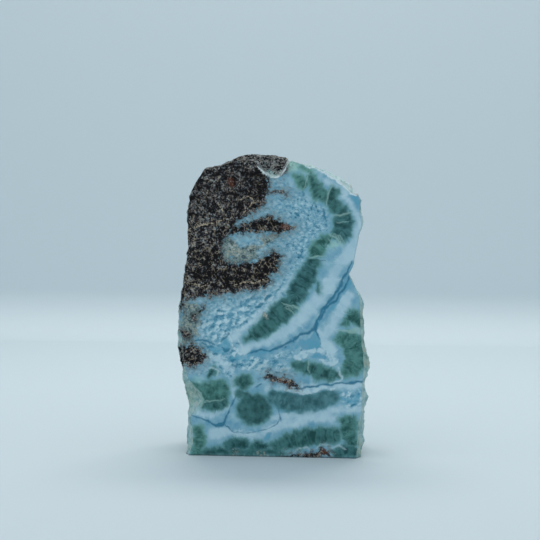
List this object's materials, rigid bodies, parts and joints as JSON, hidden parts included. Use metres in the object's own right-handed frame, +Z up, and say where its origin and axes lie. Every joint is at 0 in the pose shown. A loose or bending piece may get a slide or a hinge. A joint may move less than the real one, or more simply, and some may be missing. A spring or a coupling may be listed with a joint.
{
  "type": "rough larimar specimen",
  "caption": "Upright slab of rough larimar in dark basalt, polished flat on the front, broken on its other sides and sawn flat below so that it stands.",
  "frame": {"origin": "middle of the footprint of the bounding box, on the surface that the stone stands on", "axes": "+Z up along the height of the slab, +X to the right across the polished front, +Y from the polished front to the rough back"},
  "size_m": [0.0664, 0.0352, 0.1011],
  "materials": {
    "larimar": "polished on the front, rough and broken elsewhere"
  },
  "bodies": {
    "root": {"larimar_stone": "larimar"}
  },
  "joints": []
}
